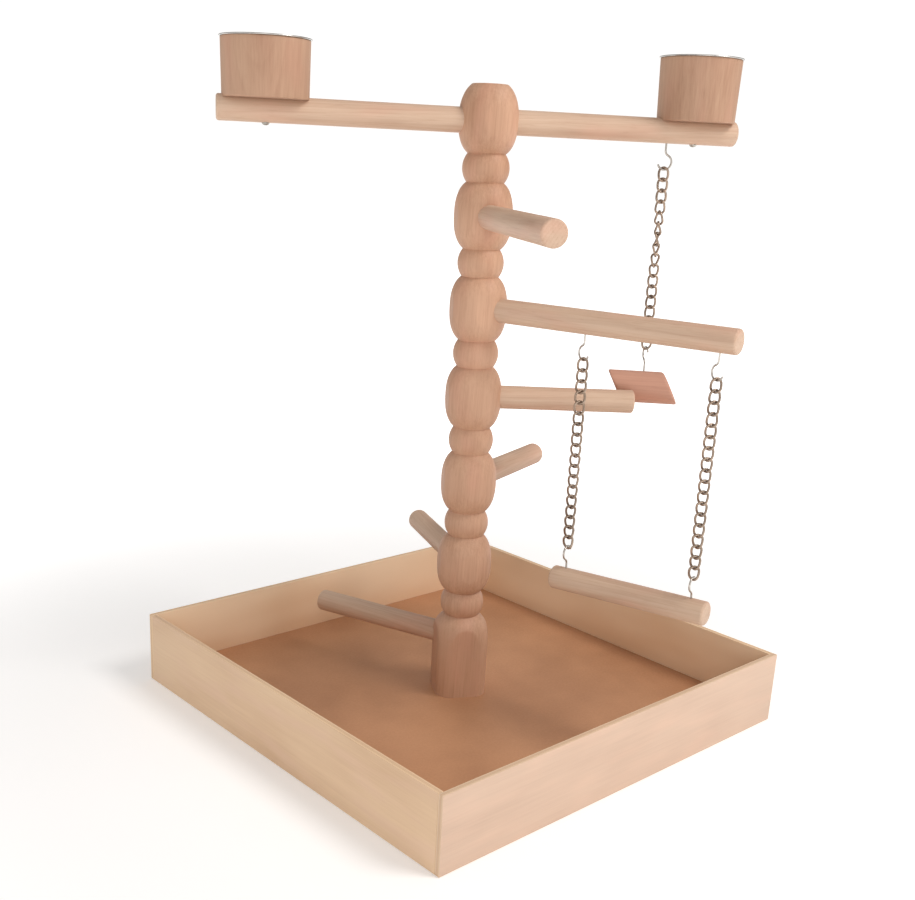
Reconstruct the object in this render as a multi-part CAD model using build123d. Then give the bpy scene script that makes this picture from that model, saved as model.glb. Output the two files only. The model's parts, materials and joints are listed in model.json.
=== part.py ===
from build123d import *

import os
from math import acos, asin, atan2, cos, pi, radians, sin, tan

# Tabletop play stand for small birds: a turned post in a square sand tray, a spiral of
# dowel perches, two cups on a crossbar, a swing on two chains and a chewing block on one.
# Millimetres. The origin is on the post's axis at the tray's underside, +Z is up, and
# the tray's sides run along X and Y. An azimuth is counted from +X towards +Y.

# tray
tray_side = 410.0
wall_height = 65.0
wall_thickness = 5.0
board_thickness = 12.0
nail_diameter = 1.4
nail_length = 16.0
nail_head_diameter = 2.4
nail_head_thickness = 0.6

# turned post
segment_pitch = 75.5
barrel_length = 53.0
barrel_radius = 24.4
neck_radius = 15.6
bead_radius = 19.4
post_top_radius = 14.5
blank_side = 46.5
blank_corner_radius = 13.0
barrel_count = 6
post_turn = -30.0
top_barrel_rise = 1.5
groove_slope = 0.75
foot_square_drop = 36.0
foot_shoulder_radius = 27.0
foot_shoulder_drop = 26.0
foot_taper_radius = 21.5
foot_taper_drop = 6.0
foot_taper_lean = 0.12

# perches: a name, its azimuth, its height above the tray's underside and its reach
perch_diameter = 20.0
perch_end_radius = 2.0
socket_depth_radius = 16.0
socket_clearance = 0.1
perches = {
    "perch_upper": (240.0, 438.0, 200.0),
    "perch_swing": (283.0, 363.0, 232.0),
    "perch_toy_side": (321.0, 287.5, 139.0),
    "perch_rear_right": (17.5, 212.0, 130.0),
    "perch_rear": (67.0, 134.5, 136.0),
    "perch_low": (108.0, 63.0, 155.0),
}
crossbar_azimuth = -30.5
crossbar_height = 512.0
crossbar_reach_right = 213.0
crossbar_reach_left = 216.0
dowel_screw_diameter = 5.0
dowel_screw_length = 40.0
pilot_clearance = 0.1
pilot_spare_depth = 0.3
overcut = 1.0

# screw and washer that hold the post to the board
post_screw_diameter = 6.0
post_screw_length = 45.0
post_screw_head_diameter = 12.0
post_screw_head_height = 3.5
post_screw_blunt_end = 2.0
hex_recess_radius = 2.5
hex_recess_depth = 2.0
washer_bore_clearance = 0.2
washer_diameter = 18.0
washer_thickness = 1.2
counterbore_diameter = 20.0
counterbore_depth = 6.0

# cups: distance along the crossbar (left is negative), foot and mouth radius, height
cups = {
    "left": (-178.0, 33.8, 34.6, 43.0),
    "right": (177.0, 32.0, 33.4, 49.0),
}
cup_seat_sink = 2.2
cup_base_thickness = 7.0
cup_wall_thickness = 4.0
cup_screw_diameter = 3.5
cup_screw_bite = 5.5
cup_screw_head_diameter = 6.5
cup_screw_head_height = 2.2
cup_seat_clearance = 0.5
cup_screw_head_gap = 0.05
bowl_sheet = 0.8
bowl_side_gap = 0.6
bowl_floor_gap = 1.0
bowl_lip_overhang = 1.0
bowl_lip_thickness = 1.2
bowl_floor_radius = 8.0

# wire hooks: how far each one stands out of its wood
hook_wire = 1.6
hook_bowl_radius = 6.0
hook_neck_radius = 4.0
hook_thread_length = 9.0
hook_tip_angle = 205.0
crossbar_hook_drop = 21.7
crossbar_hook_place = 153.5
swing_hooks = {
    "inner": (103.5, 21.5, 20.5),
    "outer": (217.5, 21.5, 18.5),
}
toy_hook_rise = 22.4

# chains
link_pitch = 8.85
link_slack = 0.12
link_wire = 2.0
link_inner_width = 5.8
swing_link_count = 18
toy_link_count = 17

# swing bar and chewing block
swing_bar_diameter = 20.0
swing_bar_overhang_inner = 12.0
swing_bar_overhang_outer = 14.0
block_diameter = 28.0
block_length = 49.0
block_cut_angle = 27.0
block_turn = -15.0


def polar(radius, azimuth, z=0.0):
    return Vector(radius * cos(radians(azimuth)), radius * sin(radians(azimuth)), z)


def rod_along(azimuth, z, start, end, radius):
    """A round rod that points away from the post's axis."""
    plane = Plane(origin=polar(start, azimuth, z), z_dir=polar(1, azimuth))
    return extrude(plane * Circle(radius), end - start)


def upright_rod(x, y, z_low, z_high, radius):
    return Pos(x, y, z_low) * Cylinder(
        radius, z_high - z_low, align=(Align.CENTER, Align.CENTER, Align.MIN)
    )


def rounded_rod(azimuth, z, start, end, radius, round_start=False):
    """A rod whose free end, or both, is eased with sandpaper."""
    rod = rod_along(azimuth, z, start, end, radius)
    ends = rod.edges().filter_by(GeomType.CIRCLE)
    outward = polar(1, azimuth)
    eased = [e for e in ends if round_start or e.arc_center.dot(outward) > end - 1]
    return fillet(eased, perch_end_radius)


# tray
def tray_board():
    side = tray_side - 2 * wall_thickness
    board = Pos(0, 0, board_thickness / 2) * Box(side, side, board_thickness)
    through = post_screw_diameter / 2 + pilot_clearance
    board -= upright_rod(0, 0, -overcut, board_thickness + overcut, through)
    board -= upright_rod(0, 0, -overcut, counterbore_depth, counterbore_diameter / 2)
    for nail in nail_places():
        board -= nail_solid(*nail, pilot_clearance)
    return board


def tray_wall(side_name):
    """The front and back walls run the full side; the other two stand between them."""
    middle = (tray_side - wall_thickness) / 2
    across = side_name in ("front", "back")
    sign = 1 if side_name in ("back", "right") else -1
    length = tray_side if across else tray_side - 2 * wall_thickness
    size = (length, wall_thickness) if across else (wall_thickness, length)
    place = (0, sign * middle) if across else (sign * middle, 0)
    wall = Pos(*place, wall_height / 2) * Box(*size, wall_height)
    for nail in nail_places():
        if nail[0] in (side_name, "corner"):
            wall -= nail_solid(*nail, pilot_clearance)
    return wall


def nail_places():
    """Each nail is (kind, x, y, z, direction): four along each wall, two at each corner."""
    half = tray_side / 2
    places = []
    for name, dx, dy in (("front", 0, 1), ("back", 0, -1), ("left", 1, 0), ("right", -1, 0)):
        for along in (-150.0, -50.0, 50.0, 150.0):
            x = along if dx == 0 else -dx * half
            y = along if dy == 0 else -dy * half
            places.append((name, x, y, board_thickness / 2, (dx, dy, 0)))
    for x in (-half + wall_thickness / 2, half - wall_thickness / 2):
        for y, dy in ((-half, 1), (half, -1)):
            for z in (24.0, 52.0):
                places.append(("corner", x, y, z, (0, dy, 0)))
    return places


def nail_solid(kind, x, y, z, direction, spare=0.0):
    plane = Plane(origin=(x, y, z), z_dir=direction)
    shank = extrude(plane * Circle(nail_diameter / 2 + spare), nail_length + spare)
    head = extrude(plane * Circle(nail_head_diameter / 2 + spare), nail_head_thickness + spare)
    return shank + head


def nails(corner):
    chosen = [n for n in nail_places() if (n[0] == "corner") == corner]
    return Compound(children=[nail_solid(*n) for n in chosen])


# post
def post_profile():
    """Half outline of the turning, from the axis at the foot to the axis at the top."""
    half_barrel = barrel_length / 2
    lowest = crossbar_height + top_barrel_rise - (barrel_count - 1) * segment_pitch
    shoulder = lowest - segment_pitch + half_barrel
    square_top = (blank_side, shoulder - foot_square_drop)
    turned_low = (foot_shoulder_radius, shoulder - foot_shoulder_drop)
    lines = [
        Line((0, board_thickness), (blank_side, board_thickness)),
        Line((blank_side, board_thickness), square_top),
        Line(square_top, turned_low),
        Spline(
            turned_low,
            (foot_taper_radius, shoulder - foot_taper_drop),
            (neck_radius, shoulder),
            tangents=[(-foot_taper_lean, 1), (-1, groove_slope)],
        ),
    ]
    for i in range(barrel_count):
        middle = lowest + i * segment_pitch
        bead_low = middle - segment_pitch + half_barrel
        bead_high = middle - half_barrel
        bead_middle = (bead_low + bead_high) / 2
        lines.append(
            ThreePointArc((neck_radius, bead_low), (bead_radius, bead_middle), (neck_radius, bead_high))
        )
        top_radius = post_top_radius if i == barrel_count - 1 else neck_radius
        lines.append(
            Spline(
                (neck_radius, middle - half_barrel),
                (barrel_radius, middle),
                (top_radius, middle + half_barrel),
                tangents=[(1, groove_slope), (0, 1), (-1, groove_slope)],
                tangent_scalars=[1, 1, 1],
            )
        )
    top = lowest + (barrel_count - 1) * segment_pitch + half_barrel
    lines.append(Line((post_top_radius, top), (0, top)))
    lines.append(Line((0, top), (0, board_thickness)))
    return lines, top


def post():
    lines, top = post_profile()
    outline = Plane.XZ * make_face(lines)
    turned = revolve(outline, Axis.Z)
    blank = Rot(0, 0, post_turn) * RectangleRounded(blank_side, blank_side, blank_corner_radius)
    turned &= Pos(0, 0, board_thickness) * extrude(blank, top)
    socket = perch_diameter / 2 + socket_clearance
    for azimuth, z, reach in perches.values():
        turned -= rod_along(azimuth, z, socket_depth_radius, barrel_radius * 2, socket)
        turned -= dowel_screw(azimuth, z, pilot_clearance)
    through = barrel_radius * 2
    turned -= rod_along(crossbar_azimuth, crossbar_height, -through, through, socket)
    screw_top = counterbore_depth - washer_thickness + post_screw_length
    return turned - upright_rod(0, 0, 0, screw_top, post_screw_diameter / 2 + pilot_clearance)


def post_screw():
    head_top = counterbore_depth - washer_thickness
    head_low = head_top - post_screw_head_height
    tip = head_top + post_screw_length - post_screw_blunt_end
    shank = upright_rod(0, 0, head_top, tip, post_screw_diameter / 2)
    head = upright_rod(0, 0, head_low, head_top, post_screw_head_diameter / 2)
    recess = Pos(0, 0, head_low) * extrude(RegularPolygon(hex_recess_radius, 6), hex_recess_depth)
    return shank + head - recess


def post_washer():
    low = counterbore_depth - washer_thickness
    ring = upright_rod(0, 0, low, counterbore_depth, washer_diameter / 2)
    bore = post_screw_diameter / 2 + washer_bore_clearance
    return ring - upright_rod(0, 0, low, counterbore_depth, bore)


# perches
def dowel_screw(azimuth, z, spare=0.0):
    """A headless screw, half in the post and half in the perch."""
    start = socket_depth_radius - dowel_screw_length / 3 - spare
    end = socket_depth_radius + dowel_screw_length * 2 / 3 + spare
    return rod_along(azimuth, z, start, end, dowel_screw_diameter / 2 + spare)


def perch(name):
    azimuth, z, reach = perches[name]
    rod = rounded_rod(azimuth, z, socket_depth_radius, reach, perch_diameter / 2)
    rod -= dowel_screw(azimuth, z, pilot_clearance)
    if name == "perch_swing":
        for place, drop, rise in swing_hooks.values():
            rod -= hook_pilot(polar(place, azimuth, z - perch_diameter / 2))
    return rod


def hook_pilot(wood_point):
    """The hole above a hanging hook, from the wood's underside up."""
    x, y, low = wood_point.X, wood_point.Y, wood_point.Z
    high = low + hook_thread_length + pilot_spare_depth
    return upright_rod(x, y, low, high, hook_wire / 2 + pilot_clearance)


def crossbar():
    rod = rounded_rod(
        crossbar_azimuth,
        crossbar_height,
        -crossbar_reach_left,
        crossbar_reach_right,
        perch_diameter / 2,
        round_start=True,
    )
    for side, (place, foot_radius, mouth_radius, height) in cups.items():
        middle = polar(place, crossbar_azimuth)
        foot, above = cup_foot(), cup_foot() + perch_diameter
        seat_radius = foot_radius + cup_seat_clearance
        hole_radius = cup_screw_diameter / 2 + pilot_clearance
        rod -= upright_rod(middle.X, middle.Y, foot, above, seat_radius)
        rod -= upright_rod(middle.X, middle.Y, foot - perch_diameter, foot + overcut, hole_radius)
    wood_point = polar(crossbar_hook_place, crossbar_azimuth, crossbar_height - perch_diameter / 2)
    return rod - hook_pilot(wood_point)


# cups
def cup_foot():
    return crossbar_height + perch_diameter / 2 - cup_seat_sink


def cup(side):
    """A turned wooden cup, bored out for its bowl."""
    place, foot_radius, mouth_radius, height = cups[side]
    foot = cup_foot()
    cavity = foot_radius - cup_wall_thickness
    outline = Polyline(
        (0, foot),
        (foot_radius, foot),
        (mouth_radius, foot + height),
        (cavity, foot + height),
        (cavity, foot + cup_base_thickness),
        (0, foot + cup_base_thickness),
        close=True,
    )
    shell = revolve(Plane.XZ * make_face(outline), Axis.Z)
    bite = foot + cup_screw_bite + pilot_spare_depth
    shell -= upright_rod(0, 0, foot - overcut, bite, cup_screw_diameter / 2 + pilot_clearance)
    return Pos(polar(place, crossbar_azimuth)) * shell


def bowl(side):
    """A thin pressed bowl that hangs in the cup by its lip."""
    place, foot_radius, mouth_radius, height = cups[side]
    mouth = cup_foot() + height
    floor = cup_foot() + cup_base_thickness + bowl_floor_gap
    outer = foot_radius - cup_wall_thickness - bowl_side_gap
    lip = mouth_radius + bowl_lip_overhang
    inner = outer - bowl_sheet
    corner = bowl_floor_radius
    lines = [
        Line((0, floor), (outer - corner, floor)),
        RadiusArc((outer - corner, floor), (outer, floor + corner), -corner),
        Line((outer, floor + corner), (outer, mouth)),
        Line((outer, mouth), (lip, mouth)),
        Line((lip, mouth), (lip, mouth + bowl_lip_thickness)),
        Line((lip, mouth + bowl_lip_thickness), (inner, mouth + bowl_lip_thickness)),
        Line((inner, mouth + bowl_lip_thickness), (inner, floor + corner)),
        RadiusArc((inner, floor + corner), (outer - corner, floor + bowl_sheet), corner - bowl_sheet),
        Line((outer - corner, floor + bowl_sheet), (0, floor + bowl_sheet)),
        Line((0, floor + bowl_sheet), (0, floor)),
    ]
    sheet = revolve(Plane.XZ * make_face(lines), Axis.Z)
    return Pos(polar(place, crossbar_azimuth)) * sheet


def cup_screws():
    """The screws come up through the crossbar into the cups' feet."""
    underside = crossbar_height - perch_diameter / 2
    screws = []
    for place, foot_radius, mouth_radius, height in cups.values():
        middle = polar(place, crossbar_azimuth)
        head_low = underside - cup_screw_head_height
        head_high = underside - cup_screw_head_gap
        tip = cup_foot() + cup_screw_bite
        shank = upright_rod(middle.X, middle.Y, head_low, tip, cup_screw_diameter / 2)
        head = upright_rod(middle.X, middle.Y, head_low, head_high, cup_screw_head_diameter / 2)
        screws.append(shank + head)
    return Compound(children=screws)


# hooks and chains
def hook_turn():
    return acos(hook_neck_radius / (hook_neck_radius + hook_bowl_radius))


def hook(exposed):
    """A wire hook that hangs below z = 0 in the XZ plane, its thread above.

    The neck bends out and the bowl comes back round under the shank. The bowl's lowest
    wire centre is at (0, hook_wire / 2 - exposed).
    """
    turn = hook_turn()
    neck = hook_neck_radius
    bowl_radius = hook_bowl_radius
    bowl_z = hook_wire / 2 - exposed + bowl_radius
    neck_z = bowl_z + (neck + bowl_radius) * sin(turn)
    join = (neck - neck * cos(turn), neck_z - neck * sin(turn))
    middle = (neck - neck * cos(turn / 2), neck_z - neck * sin(turn / 2))
    tip = radians(hook_tip_angle - 360)
    bowl_points = [
        (bowl_radius * cos(a), bowl_z + bowl_radius * sin(a)) for a in (-pi / 2 + 0.2, tip)
    ]
    path = Wire(
        [
            Plane.XZ * Line((0, hook_thread_length), (0, neck_z)),
            Plane.XZ * ThreePointArc((0, neck_z), middle, join),
            Plane.XZ * ThreePointArc(join, *bowl_points),
        ]
    )
    start = Plane(origin=(0, 0, hook_thread_length), z_dir=(0, 0, -1))
    return sweep(start * Circle(hook_wire / 2), path=path)


def hanging_hook(place, azimuth, wood_z, exposed, turn=0.0):
    return Pos(polar(place, azimuth, wood_z)) * Rot(0, 0, azimuth + turn) * hook(exposed)


def standing_hook(exposed, turn=0.0):
    """The same hook upside down, for a piece that hangs from it."""
    return Rot(0, 0, turn) * Rot(180, 0, 0) * hook(exposed)


def link(azimuth):
    """A closed stadium of wire that stands in the vertical plane at this azimuth.

    Its inner top edge is at the origin.
    """
    inner_length = link_pitch + link_slack
    turn_radius = (link_inner_width + link_wire) / 2
    half_straight = (inner_length - link_inner_width) / 2
    pieces = []
    for sign in (1, -1):
        side = Pos(sign * turn_radius, 0, 0) * Cylinder(link_wire / 2, 2 * half_straight)
        end = Pos(0, 0, sign * half_straight) * Rot(0, 0 if sign > 0 else 180, 0) * half_ring(turn_radius)
        pieces += [side, end]
    ring = pieces[0].fuse(*pieces[1:])
    return Rot(0, 0, azimuth) * Pos(0, 0, -inner_length / 2) * ring


def half_ring(turn_radius):
    """The upper half of a ring in the XZ plane."""
    section = Plane(origin=(turn_radius, 0, 0), z_dir=(0, 0, 1)) * Circle(link_wire / 2)
    return revolve(section, Axis.Y, -180)


def chain(first, count, azimuth, top):
    """Links first to first + count - 1; odd links stand across the azimuth, even ones along it."""
    links = []
    for i in range(first, first + count):
        facing = azimuth + (90 if i % 2 else 0)
        links.append(Pos(top - Vector(0, 0, (i - 1) * link_pitch)) * link(facing))
    return links


def swing_azimuth():
    return perches["perch_swing"][0]


def swing_bowl(which):
    """Centre of the wire at the lowest point of an upper swing hook."""
    place, drop, rise = swing_hooks[which]
    underside = perches["perch_swing"][1] - perch_diameter / 2
    return polar(place, swing_azimuth(), underside - drop + hook_wire / 2)


def lower_bowl(which):
    """Centre of the wire at the highest point of a lower swing hook."""
    drop = swing_link_count * link_pitch - hook_wire
    return swing_bowl(which) - Vector(0, 0, drop)


def chain_top(bowl_centre):
    return bowl_centre + Vector(0, 0, hook_wire / 2)


def swing_links(which, first, count):
    return chain(first, count, swing_azimuth(), chain_top(swing_bowl(which)))


def swing_bar_frame():
    """Plane of the tilted bar's top line: its origin under the inner hook, +Z towards the hooks.

    The two lower bowls hang at chain length, and the hooks differ in height, so the bar
    is tilted until both hooks stand square on it.
    """
    inner, outer = lower_bowl("inner"), lower_bowl("outer")
    rise = {which: swing_hooks[which][2] - hook_wire / 2 for which in swing_hooks}
    apart = outer - inner
    flat = polar(1, swing_azimuth())
    bowl_tilt = atan2(apart.Z, apart.dot(flat))
    tilt = bowl_tilt - asin((rise["outer"] - rise["inner"]) / apart.length)
    along = flat * cos(tilt) + Vector(0, 0, sin(tilt))
    normal = flat * -sin(tilt) + Vector(0, 0, cos(tilt))
    spacing = apart.dot(along)
    return Plane(origin=inner - normal * rise["inner"], x_dir=along, z_dir=normal), spacing


def swing_bar():
    plane, spacing = swing_bar_frame()
    length = spacing + swing_bar_overhang_inner + swing_bar_overhang_outer
    radius = swing_bar_diameter / 2
    rod = Cylinder(radius, length, rotation=(0, 90, 0))
    rod = fillet(rod.edges().filter_by(GeomType.CIRCLE), perch_end_radius)
    middle = length / 2 - swing_bar_overhang_inner
    bar = plane.location * Pos(middle, 0, -radius) * rod
    hole = Cylinder(hook_wire / 2 + pilot_clearance, 2 * (hook_thread_length + pilot_spare_depth))
    for x in (0, spacing):
        bar -= plane.location * Pos(x, 0, 0) * hole
    return bar


def swing_bar_hook(which):
    plane, spacing = swing_bar_frame()
    x = 0 if which == "inner" else spacing
    return plane.location * Pos(x, 0, 0) * standing_hook(swing_hooks[which][2], 90)


def toy_bowl():
    underside = crossbar_height - perch_diameter / 2
    return polar(
        crossbar_hook_place, crossbar_azimuth, underside - crossbar_hook_drop + hook_wire / 2
    )


def toy_links(first, count):
    return chain(first, count, crossbar_azimuth, chain_top(toy_bowl()))


def toy_wood_point():
    drop = toy_link_count * link_pitch - hook_wire
    return toy_bowl() - Vector(0, 0, drop + toy_hook_rise - hook_wire / 2)


def toy_hook():
    return Pos(toy_wood_point()) * Rot(0, 0, crossbar_azimuth) * standing_hook(toy_hook_rise)


def toy_block():
    """A short dowel, sawn off at a slant at both ends, a little askew to the crossbar."""
    radius = block_diameter / 2
    rod = Cylinder(radius, 2 * block_length, rotation=(0, 90, 0))
    lean = radius * tan(radians(block_cut_angle))
    half = block_length / 2
    slab_outline = Polyline(
        (-half - lean, radius),
        (half - lean, radius),
        (half + lean, -radius),
        (-half + lean, -radius),
        close=True,
    )
    slab = extrude(Plane.XZ * make_face(slab_outline), 2 * radius, both=True)
    block = rod & slab
    point = toy_wood_point()
    place = Pos(point - Vector(0, 0, radius)) * Rot(0, 0, crossbar_azimuth + block_turn)
    hole_low = radius - hook_thread_length - pilot_spare_depth
    hole = upright_rod(0, 0, hole_low, radius + overcut, hook_wire / 2 + pilot_clearance)
    return place * (block - hole)


# output
def swing_hook(which):
    place, drop, rise = swing_hooks[which]
    underside = perches["perch_swing"][1] - perch_diameter / 2
    return hanging_hook(place, swing_azimuth(), underside, drop)


def nodes():
    found = {"tray_" + name: tray_wall(name) for name in ("front", "back", "left", "right")}
    found["tray_board"] = tray_board()
    found["tray_nails"] = nails(corner=False)
    found["corner_nails"] = nails(corner=True)
    found["post"] = post()
    found["post_screw"] = post_screw()
    found["post_washer"] = post_washer()
    found["crossbar"] = crossbar()
    for name in perches:
        found[name] = perch(name)
    screws = [dowel_screw(azimuth, z) for azimuth, z, reach in perches.values()]
    found["dowel_screws"] = Compound(children=screws)
    for side in cups:
        found["cup_" + side] = cup(side)
        found["bowl_" + side] = bowl(side)
    found["cup_screws"] = cup_screws()
    found["crossbar_hook"] = hanging_hook(
        crossbar_hook_place,
        crossbar_azimuth,
        crossbar_height - perch_diameter / 2,
        crossbar_hook_drop,
    )
    for which in swing_hooks:
        found["swing_hook_" + which] = swing_hook(which)
        found["swing_bar_hook_" + which] = swing_bar_hook(which)
        rest = swing_link_count - 1
        found["swing_chain_" + which] = Compound(children=swing_links(which, 2, rest))
    top_links = swing_links("inner", 1, 1) + swing_links("outer", 1, 1)
    found["swing_top_links"] = Compound(children=top_links)
    found["swing_bar"] = swing_bar()
    found["toy_top_link"] = toy_links(1, 1)[0]
    found["toy_chain"] = Compound(children=toy_links(2, toy_link_count - 1))
    found["toy_hook"] = toy_hook()
    found["toy_block"] = toy_block()
    return found


os.makedirs("parts", exist_ok=True)
for node_name, solid in nodes().items():
    export_step(solid, os.path.join("parts", node_name + ".step"))
for which in swing_hooks:
    print("swing", which, "upper bowl", swing_bowl(which), "lower bowl", lower_bowl(which))
print("toy bowl", toy_bowl(), "toy wood point", toy_wood_point())
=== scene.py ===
import json
import math

import bmesh
import bpy
from mathutils import Matrix, Vector, noise


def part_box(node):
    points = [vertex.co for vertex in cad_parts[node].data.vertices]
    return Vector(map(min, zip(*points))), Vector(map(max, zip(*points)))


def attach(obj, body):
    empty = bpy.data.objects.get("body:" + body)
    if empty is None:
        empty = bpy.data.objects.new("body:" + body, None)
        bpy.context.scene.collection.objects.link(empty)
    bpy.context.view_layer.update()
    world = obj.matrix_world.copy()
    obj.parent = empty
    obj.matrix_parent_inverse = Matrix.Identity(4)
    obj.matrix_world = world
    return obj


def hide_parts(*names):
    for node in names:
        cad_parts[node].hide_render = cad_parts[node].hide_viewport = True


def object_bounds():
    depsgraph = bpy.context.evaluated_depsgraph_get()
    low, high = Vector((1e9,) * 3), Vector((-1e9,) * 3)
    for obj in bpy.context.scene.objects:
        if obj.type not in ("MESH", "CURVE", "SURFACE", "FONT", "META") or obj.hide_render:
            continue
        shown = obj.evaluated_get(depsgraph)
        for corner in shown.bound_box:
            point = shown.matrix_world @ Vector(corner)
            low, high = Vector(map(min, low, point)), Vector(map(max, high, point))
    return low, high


# Bird play stand: turned post in a sand tray, dowel perches, two cups, a swing and a toy.
# Metres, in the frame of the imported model.

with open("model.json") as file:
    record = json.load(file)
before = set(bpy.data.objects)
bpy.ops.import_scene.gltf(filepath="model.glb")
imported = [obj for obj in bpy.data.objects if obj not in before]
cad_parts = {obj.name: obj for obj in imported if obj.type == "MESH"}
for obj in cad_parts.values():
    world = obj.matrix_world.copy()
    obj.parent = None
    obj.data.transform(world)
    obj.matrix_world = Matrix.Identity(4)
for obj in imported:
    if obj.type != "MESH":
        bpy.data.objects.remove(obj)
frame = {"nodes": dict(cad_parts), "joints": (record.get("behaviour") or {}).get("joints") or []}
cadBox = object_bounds()
joints = {joint["name"]: joint for joint in frame["joints"]}
scene = bpy.context.scene
print("frame loaded:", len(frame["nodes"]), "nodes")


# small helpers
def tint(red, green, blue):  # a screen colour, 0 to 255, as the linear colour that shaders use
    def linear(value):
        value /= 255
        return value / 12.92 if value <= 0.04045 else ((value + 0.055) / 1.055) ** 2.4
    return (linear(red), linear(green), linear(blue), 1.0)


def polar(radius, azimuth, z=0.0):  # azimuth in degrees, from +X towards +Y
    return Vector((radius * math.cos(math.radians(azimuth)), radius * math.sin(math.radians(azimuth)), z))


def middle(node):
    low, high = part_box(node)
    return (low + high) / 2


def bezier(a, b, c, d, steps):  # points after a, up to and including d
    points = []
    for i in range(1, steps + 1):
        t = i / steps
        s = 1 - t
        weights = (s**3, 3 * s * s * t, 3 * s * t * t, t**3)
        points.append(tuple(sum(w * p[k] for w, p in zip(weights, (a, b, c, d))) for k in range(2)))
    return points


def arc(centre, radius, start, end, steps):  # (r, z) points on a round corner, angles in degrees
    turns = [math.radians(start + (end - start) * i / steps) for i in range(steps + 1)]
    return [(centre[0] + radius * math.cos(a), centre[1] + radius * math.sin(a)) for a in turns]


def axes(origin, direction):  # a frame whose Z runs along direction
    turn = Vector(direction).to_track_quat("Z", "Y").to_matrix().to_4x4()
    return Matrix.Translation(origin) @ turn


# stage: camera, lights and floor
camera = {
    "place": (-0.69773, -0.72337, 0.48508),
    "pitchDown": 17.754,
    "heading": 42.560,  # from +Y towards +X
    "roll": 2.752,
    "lens": 46.314,
    "shift": (0.0212, 0.0888),
}
light = {
    "skyLow": 0.42,
    "skyHigh": 0.52,
    "floorNear": 0.20,
    "floorFar": 0.85,
    "glowBetween": (0.35, 1.1),  # distances from the middle over which the floor's glow grows
    "floorHalf": 12.0,
    "floorDrop": 0.0004,
    "warmth": (1.0, 0.96, 0.93),
    "lamps": {  # azimuth, height above the horizon, distance, width and power
        "frontLight": (228.0, 18.0, 3.4, 2.4, 19.0),
        "keyLight": (-64.0, 50.0, 2.4, 1.0, 29.0),
    },
}


def makeCamera():
    data = bpy.data.cameras.new("studioCamera")
    data.lens = camera["lens"]
    data.sensor_width = 36
    data.shift_x, data.shift_y = camera["shift"]
    data.clip_start = 0.02
    data.clip_end = 60
    holder = bpy.data.objects.new("studioCamera", data)
    scene.collection.objects.link(holder)
    turn = Matrix.Rotation(math.radians(-camera["heading"]), 4, "Z")
    turn = turn @ Matrix.Rotation(math.radians(90 - camera["pitchDown"]), 4, "X")
    turn = turn @ Matrix.Rotation(math.radians(camera["roll"]), 4, "Z")
    holder.matrix_world = Matrix.Translation(camera["place"]) @ turn
    scene.camera = holder


def makeAreaLight(name, azimuth, height, reach, size, power):
    data = bpy.data.lights.new(name, "AREA")
    data.shape = "DISK"
    data.size = size
    data.energy = power
    data.color = light["warmth"]
    lamp = bpy.data.objects.new(name, data)
    scene.collection.objects.link(lamp)
    target = (cadBox[0] + cadBox[1]) / 2
    flat = reach * math.cos(math.radians(height))
    place = target + polar(flat, azimuth, reach * math.sin(math.radians(height)))
    lamp.matrix_world = axes(place, place - target)


makeCamera()
for name, lamp in light["lamps"].items():
    makeAreaLight(name, *lamp)
scene.view_settings.view_transform = "Standard"
print("camera and lights set")


# shader and geometry trees
class Wire:  # one socket, so that shader maths reads as plain expressions
    def __init__(self, tree, socket):
        self.tree = tree
        self.socket = socket

    def maths(self, operation, *values):
        return self.tree.node("ShaderNodeMath", {"operation": operation}, dict(enumerate(values)))

    def __add__(self, other):
        return self.maths("ADD", self, other)

    def __sub__(self, other):
        return self.maths("SUBTRACT", self, other)

    def __rsub__(self, other):
        return self.maths("SUBTRACT", other, self)

    def __mul__(self, other):
        return self.maths("MULTIPLY", self, other)

    def __truediv__(self, other):
        return self.maths("DIVIDE", self, other)

    __radd__ = __add__
    __rmul__ = __mul__

    def between(self, low, high):  # 0 below low, 1 above high, smooth in between
        return self.tree.node("ShaderNodeMapRange", {"interpolation_type": "SMOOTHSTEP"},
                              {"Value": self, "From Min": low, "From Max": high})


class Tree:  # a node tree and the one method that adds nodes to it
    def __init__(self, tree):
        self.tree = tree

    def node(self, kind, settings=None, inputs=None, out=0):
        made = self.tree.nodes.new(kind)
        for name, value in (settings or {}).items():
            if name == "stops":
                ramp = made.color_ramp
                while len(ramp.elements) < len(value):
                    ramp.elements.new(0.5)
                for element, (place, colour) in zip(ramp.elements, value):
                    element.position = place
                    element.color = colour
            else:
                setattr(made, name, value)
        for name, value in (inputs or {}).items():
            if isinstance(value, Wire):
                self.tree.links.new(value.socket, made.inputs[name])
            else:
                made.inputs[name].default_value = value
        return None if out is None else Wire(self, made.outputs[out])

    def split(self, vector):  # the three parts of a vector
        made = self.tree.nodes.new("ShaderNodeSeparateXYZ")
        self.tree.links.new(vector.socket, made.inputs[0])
        return [Wire(self, socket) for socket in made.outputs]

    def mix(self, a, b, share):
        return self.node("ShaderNodeMix", {"data_type": "RGBA", "clamp_result": True},
                         {0: share, 6: a, 7: b}, out=2)

    def scaled(self, vector, factors):
        return self.node("ShaderNodeVectorMath", {"operation": "MULTIPLY"}, {0: vector, 1: factors})

    def grainNoise(self, vector, factors, detail=2.0, roughness=0.5, distortion=0.0, out=0):
        return self.node("ShaderNodeTexNoise", {"noise_dimensions": "3D"},
                         {"Vector": self.scaled(vector, factors), "Scale": 1.0, "Detail": detail,
                          "Roughness": roughness, "Distortion": distortion}, out=out)


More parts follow.
